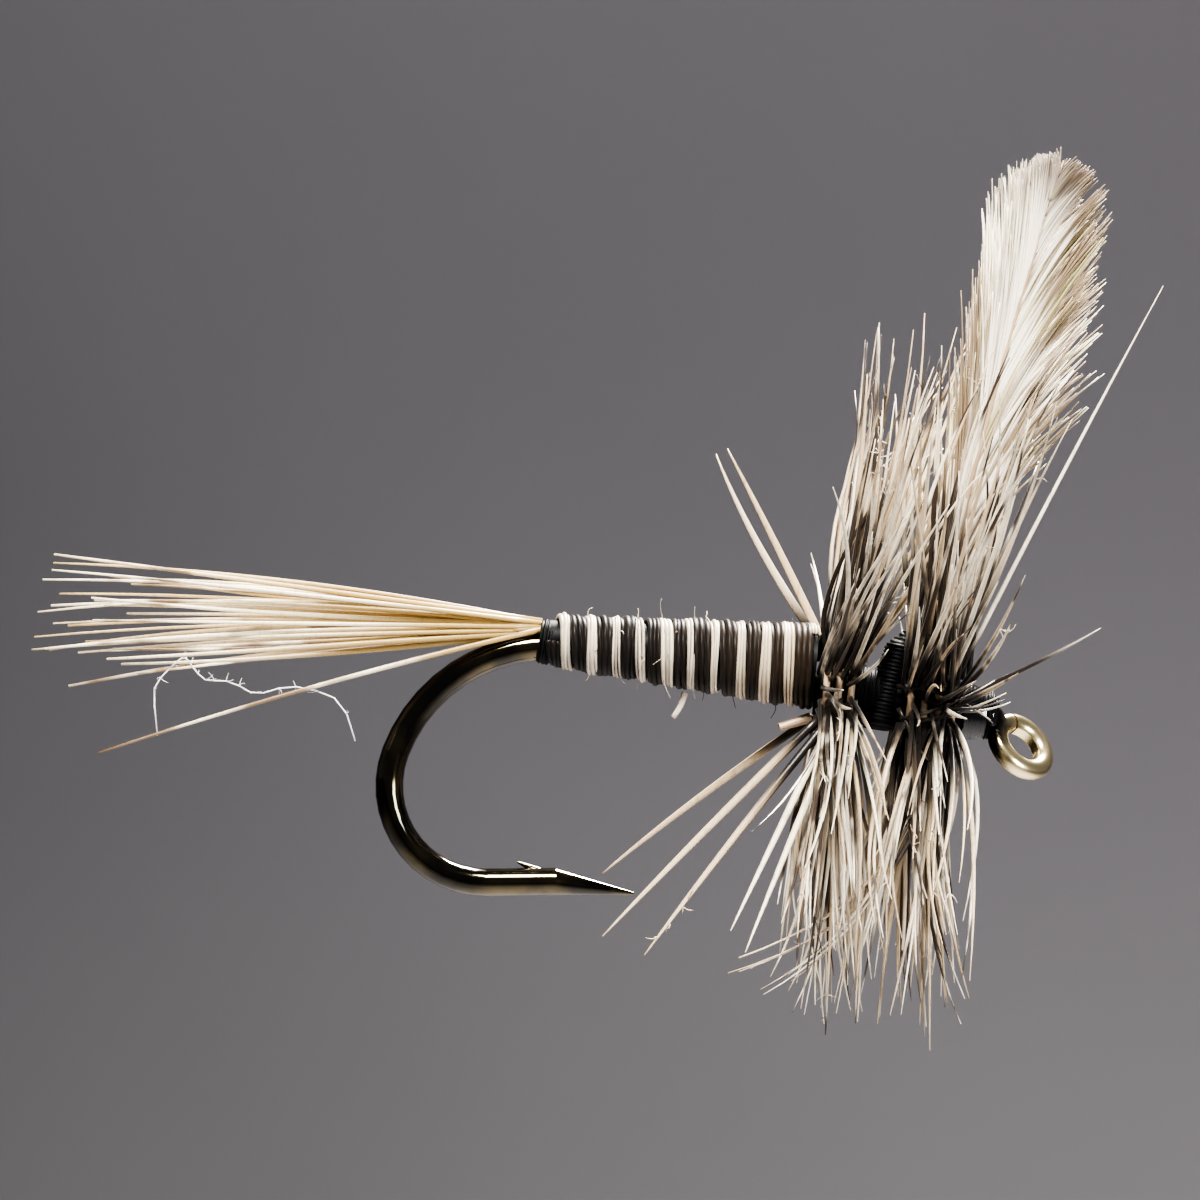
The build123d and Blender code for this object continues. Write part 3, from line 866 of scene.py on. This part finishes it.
class DRYFLY_OT_hackles(Builder):
    """Makes the rear and the front hackle, their stems and the long stray barbs"""

    bl_idname = "dryfly.hackles"
    bl_label = "Hackles"

    def make(self, sizes, looks):
        tones = (looks.barb_dark, looks.barb_light, looks.barb_warm, looks.barb_root)
        bars = {"bar": 3.6, "shift": 1.0, "root_length": 1.55, "light_share": 0.60}
        barb = fibre_look("grizzly_barb", tones, **bars, roughness=0.32)
        quill = quill_look(looks)
        for seed, name in ((31, "rear"), (32, "front")):
            self.hackle(name, sizes, seed, barb)
            dress(f"{name}_hackle_stem", quill)
        dress("hackle_butts", quill)
        self.strays(barb)

    def hackle(self, name, sizes, seed, material):
        """Gives each CAD barb a few fine ones: some stay together as one bundle, some fan out.

        Barbs that point to the side are leaned less along the shank, are straighter and are turned
        nearer to upright.
        """
        draw = random.Random(seed)
        tubes = Strands(6)
        shank_z = sum(corner[2] for corner in box("thread_base")) / 2
        for root, tip, radius in cad_fibres(f"{name}_hackle_barbs"):
            bundled = draw.random() < BUNDLED_SHARE
            turning, fanning = BUNDLE_SPREAD if bundled else FAN_SPREAD
            length = np.linalg.norm(tip - root)
            across, high = root[1], root[2] - shank_z
            sideways = abs(across) / (abs(across) + abs(high))
            upright = 0.45 * math.copysign(max(sideways - 0.35, 0), across * high)
            straight = 1 - 0.8 * sideways
            bow = random_vector(draw) * length * sizes.barb_bow * straight
            tone = draw.random()
            for copy in range(sizes.barbs_each):
                turn = math.radians(draw.gauss(0, turning)) + upright if copy else 0.0
                start = turned(root, shank_z, turn)
                end = turned(tip, shank_z, turn)
                end[0] -= (end[0] - start[0]) * 0.75 * sideways**2
                if copy:
                    start[0] += draw.uniform(-0.10, 0.10)
                    end[0] += draw.gauss(0, fanning)
                    end = start + (end - start) * (1 - 0.34 * draw.random() ** 2.5)
                own_bow = bow + random_vector(draw) * length * 0.012 * straight
                sway = random_vector(draw) * length * 0.03 * straight
                pick = (tone + draw.gauss(0, 0.05)) % 1.0 if bundled else draw.random()
                self.barb(tubes, draw, start, end, radius * draw.uniform(0.95, 1.5), own_bow, sway, pick)
        if name == "front":
            self.caught(tubes, draw, radius)
        finish_piece(tubes.build(f"{name}_hackle_fibres"), material, "grizzly_barb", f"{name}_hackle_barbs")

    def barb(self, tubes, draw, root, tip, radius, bow, sway, pick, rows=12, shade=0.0):
        """One barb: a flat tapered shaft, with a few barbules towards its tip on some."""
        points = curve_between(root, tip, bow, sway, rows)
        t = np.linspace(0, 1, rows)
        radii = radius * (1 - 0.84 * t**2.2)
        tubes.add(points, radii, Y_DIR + 0.3 * X_DIR, pick, flat=0.55, shade=shade)
        if draw.random() < FEATHERED_SHARE:
            length = np.linalg.norm(tip - root)
            run = (tip - root) / length
            for _ in range(draw.randint(4, 9)):
                i = draw.randint(rows * 2 // 3, rows - 2)
                away = unit(random_vector(draw) + run * 1.6) * draw.uniform(0.08, 0.24)
                line = curve_between(points[i], points[i] + away, random_vector(draw) * 0.02, np.zeros(3), 4)
                reach = np.full(4, length * t[i])
                tubes.add(line, np.linspace(0.009, 0.004, 4), X_DIR + Z_DIR * 0.4, pick, reach)

    def caught(self, tubes, draw, radius):
        """Barbs that the thread caught: they curl over the thorax and the head, or sweep back below."""
        curls = (
            ((-1.85, -0.52, 0.12), (-0.45, -0.55, 0.85), (0.0, -0.15, -0.10)),
            ((-2.00, -0.50, 0.62), (-0.55, -0.60, 0.35), (0.0, -0.12, 0.15)),
            ((-1.50, -0.50, -0.10), (-0.90, -0.62, 0.75), (0.10, -0.10, 0.10)),
            ((-1.90, -0.50, 0.30), (-1.15, -0.80, -0.40), (0.10, -0.10, -0.20)),
            ((-1.70, -0.50, 0.55), (-0.30, -0.60, 0.62), (0.0, -0.10, -0.22)),
        )
        sweeps = (
            ((-1.35, -0.45, 0.0), (-3.80, -1.50, -4.00), (0.80, -0.10, -0.30)),
            ((-1.45, -0.45, 0.0), (-3.72, -1.40, -3.62), (0.74, -0.10, -0.26)),
            ((-1.55, -0.45, -0.02), (-3.30, -1.60, -4.15), (0.62, -0.10, -0.25)),
            ((-1.60, -0.45, -0.02), (-2.90, -1.50, -3.85), (0.50, -0.10, -0.20)),
        )
        for root, tip, bow in curls + sweeps:
            for _ in range(2):
                shift = random_vector(draw) * 0.035
                end = np.array(tip) + 2 * shift
                pull = np.array(bow) + random_vector(draw) * 0.02
                start = np.array(root) + shift * 0.5
                pick = draw.uniform(0.45, 1.0)
                thick = radius * draw.uniform(0.75, 1.1)
                self.barb(tubes, draw, start, end, thick, pull, np.zeros(3), pick, 16)

    def strays(self, material):
        """Long barbs that stand out of the hackle, nearly straight."""
        draw = random.Random(33)
        tubes = Strands(8)
        for root, tip, radius in cad_fibres("stray_barbs"):
            length = np.linalg.norm(tip - root)
            bow = random_vector(draw) * length * 0.008
            thick = 1.0 if tip[0] > 0 else 1.9
            self.barb(tubes, draw, root, tip, radius * thick, bow, -bow, draw.uniform(0.5, 0.95), 16, 0.35)
        finish_piece(tubes.build("stray_fibres"), material, "grizzly_barb", "stray_barbs")


# ---- thorax and head -----------------------------------------------------------------------


def wound_drum(name, node, rows, pitch, ridge, swell):
    """A CAD drum along X, covered in thread turns; swell rounds its ends off."""
    cloud = cad_points(node)
    low, high = cloud.min(0), cloud.max(0)
    x = np.linspace(low[0], high[0], rows)
    ends = []
    for side in (cloud[:, 0] < low[0] + AT_END, cloud[:, 0] > high[0] - AT_END):
        ends.append((cloud[side][:, 2].max() - cloud[side][:, 2].min()) / 2)
    t = np.linspace(0, 1, rows)
    radii = ends[0] + (ends[1] - ends[0]) * t
    radii = radii * (1 - swell * np.abs(2 * t - 1) ** 6)
    centres = np.stack([x, np.zeros(rows), np.full(rows, (low[2] + high[2]) / 2)], 1)
    return wound_form(name, centres, Y_DIR, Z_DIR, radii, radii, pitch, ridge)


class DRYFLY_OT_thorax(Builder):
    """Winds the thread of the thorax, against the wings and between them"""

    bl_idname = "dryfly.thorax"
    bl_label = "Thorax"

    def make(self, sizes, looks):
        thread = thread_look(looks)
        piece = wound_drum("thorax_turns", "thorax_wraps", 260, sizes.thread_pitch, 0.02, 0.02)
        finish_piece(piece, thread, "black_thread", "thorax_wraps")
        self.post(thread, sizes.thread_pitch)
        dress("wing_figure_eight", thread)

    def post(self, material, pitch):
        """The mound of thread that leans on the wings: wide and low, narrower at the top."""
        low, high = box("wing_post_wraps")
        rows = 130
        t = np.linspace(0, 1, rows)
        middle = (low + high) / 2
        x = middle[0] - 0.02 + 0.20 * t
        z = low[2] + (high[2] - low[2]) * t
        rounded = np.clip(np.sin(math.pi * (0.08 + 0.9 * t)) * 2.2, 0, 1)
        girth = (high[1] - low[1]) / 2 * (0.98 - 0.50 * t**1.3) * rounded
        depth = (high[0] - low[0]) / 2 * (0.98 - 0.42 * t) * rounded
        centres = np.stack([x, np.zeros(rows), z], 1)
        piece = wound_form("wing_post_turns", centres, X_DIR, Y_DIR, depth, girth, pitch, 0.022)
        finish_piece(piece, material, "black_thread", "wing_post_wraps")


class DRYFLY_OT_head(Builder):
    """Winds the head, ties it off and varnishes it"""

    bl_idname = "dryfly.head"
    bl_label = "Head"

    def make(self, sizes, looks):
        thread = thread_look(looks)
        head = wound_drum("head_turns", "head_wraps", 120, sizes.thread_pitch, 0.016, 0.04)
        finish_piece(head, thread, "black_thread", "head_wraps")
        collar = wound_drum("whip_finish_turns", "whip_finish", 40, sizes.thread_pitch * 0.8, 0.02, 0.12)
        finish_piece(collar, thread, "black_thread", "whip_finish")
        coat = wound_drum("head_varnish", "head_cement", 60, 0.5, 0.012, 0.03)
        finish_piece(coat, varnish_look(), "clear_varnish", "head_cement")


# ---- stage ---------------------------------------------------------------------------------


class DRYFLY_OT_stage(bpy.types.Operator):
    """Sets the pale floor, the soft lamps and the camera"""

    bl_idname = "dryfly.stage"
    bl_label = "Stage"

    def execute(self, context):
        sizes, _ = settings()
        self.sweep()
        self.lamps()
        self.camera(sizes)
        context.scene.view_settings.look = "AgX - High Contrast"
        return {"FINISHED"}

    def sweep(self):
        """A floor that curves up into a backdrop."""
        floor_z, wall_y, bend_r, half_width, front_y, height = -46.0, 190.0, 90.0, 420.0, -320.0, 420.0
        profile = [(front_y, floor_z)]
        for i in range(13):
            angle = math.radians(90 * i / 12)
            back, rise = bend_r * math.sin(angle), bend_r * (1 - math.cos(angle))
            profile.append((wall_y - bend_r + back, floor_z + rise))
        profile.append((wall_y, height))
        points = np.array([(x, y, z) for x in (-half_width, half_width) for y, z in profile]) * MM
        n = len(profile)
        faces = [(i, i + 1, n + i + 1, n + i) for i in range(n - 1)]
        floor = mesh_object("studio_floor", points, faces)
        shader = Shader("pale_floor", Roughness=0.9)
        place = shader.place()
        cloud = shader.noise(place, 0.02)
        # painted light: the backdrop darkens towards the lower left and pales towards the upper right, with
        # soft cloudy patches
        glow = (shader.part(place, "X") + 1.1 * shader.part(place, "Z") + 30.0 * cloud).within(-95.0, 75.0)
        shader.drive(Base_Color=shader.mix(glow, FLOOR_DARK, FLOOR_PALE))
        floor.data.materials.append(shader.material)
        world = bpy.data.worlds.new("studio")
        world.use_nodes = True
        air = world.node_tree.nodes["Background"]
        air.inputs["Color"].default_value = AIR_COLOUR
        air.inputs["Strength"].default_value = AIR_STRENGTH
        bpy.context.scene.world = world

    def lamp(self, name, where, size, watts, colour):
        data = bpy.data.lights.new(name, "AREA")
        data.energy, data.size, data.color = watts, size * MM, colour
        data.spread = math.radians(LAMP_SPREAD_DEG)
        lamp = bpy.data.objects.new(name, data)
        bpy.context.scene.collection.objects.link(lamp)
        lamp.location = Vector(where) * MM
        lamp.rotation_euler = (Vector(LAMP_AIM) - Vector(where)).to_track_quat("-Z", "Y").to_euler()

    def lamps(self):
        self.lamp("key_lamp", (-30, -70, 95), 30, 0.062, (1.0, 0.97, 0.92))
        self.lamp("front_lamp", (60, -90, 20), 36, 0.017, (0.95, 0.97, 1.0))
        self.lamp("top_rim_lamp", (5, 60, 88), 34, 0.125, (1.0, 0.97, 0.91))
        self.lamp("low_rim_lamp", (-10, 46, -75), 30, 0.044, (1.0, 0.95, 0.86))

    def camera(self, sizes):
        data = bpy.data.cameras.new("camera")
        data.sensor_width = 36.0
        data.lens = data.sensor_width * sizes.view_distance / sizes.view_width
        data.clip_start, data.clip_end = 1 * MM, 5.0
        camera = bpy.data.objects.new("camera", data)
        bpy.context.scene.collection.objects.link(camera)
        roll = math.radians(VIEW_ROLL_DEG)
        right = Vector((math.cos(roll), 0, math.sin(roll)))
        up = Vector((-math.sin(roll), 0, math.cos(roll)))
        turn = Matrix((right, up, -Y_DIR)).transposed().to_4x4()
        stand = Vector(VIEW_AIM) - Vector(Y_DIR) * sizes.view_distance
        camera.matrix_world = Matrix.Translation(stand * MM) @ turn
        bpy.context.scene.camera = camera


# ---- the add-on ----------------------------------------------------------------------------


class DRYFLY_PT_panel(bpy.types.Panel):
    """Lists the fly's parts"""

    bl_label = "Dry Fly"
    bl_space_type = "VIEW_3D"
    bl_region_type = "UI"
    bl_category = "Dry Fly"

    def draw(self, context):
        for group in (context.scene.dry_fly_sizes, context.scene.dry_fly_looks):
            column = self.layout.column(align=True)
            for key in group.__annotations__:
                column.prop(group, key)
        for operator in OPERATORS:
            self.layout.operator(operator.bl_idname)


OPERATORS = (
    DRYFLY_OT_stage,
    DRYFLY_OT_hook,
    DRYFLY_OT_body,
    DRYFLY_OT_tail,
    DRYFLY_OT_thorax,
    DRYFLY_OT_wings,
    DRYFLY_OT_hackles,
    DRYFLY_OT_head,
)
CLASSES = (DryFlySizes, DryFlyLooks, *OPERATORS, DRYFLY_PT_panel)


def register():
    for cls in CLASSES:
        bpy.utils.register_class(cls)
    bpy.types.Scene.dry_fly_sizes = bpy.props.PointerProperty(type=DryFlySizes)
    bpy.types.Scene.dry_fly_looks = bpy.props.PointerProperty(type=DryFlyLooks)


def unregister():
    del bpy.types.Scene.dry_fly_looks
    del bpy.types.Scene.dry_fly_sizes
    for cls in reversed(CLASSES):
        bpy.utils.unregister_class(cls)


def main():
    register()
    for operator in OPERATORS:
        family, name = operator.bl_idname.split(".")
        getattr(getattr(bpy.ops, family), name)()


if __name__ == "__main__":
    main()
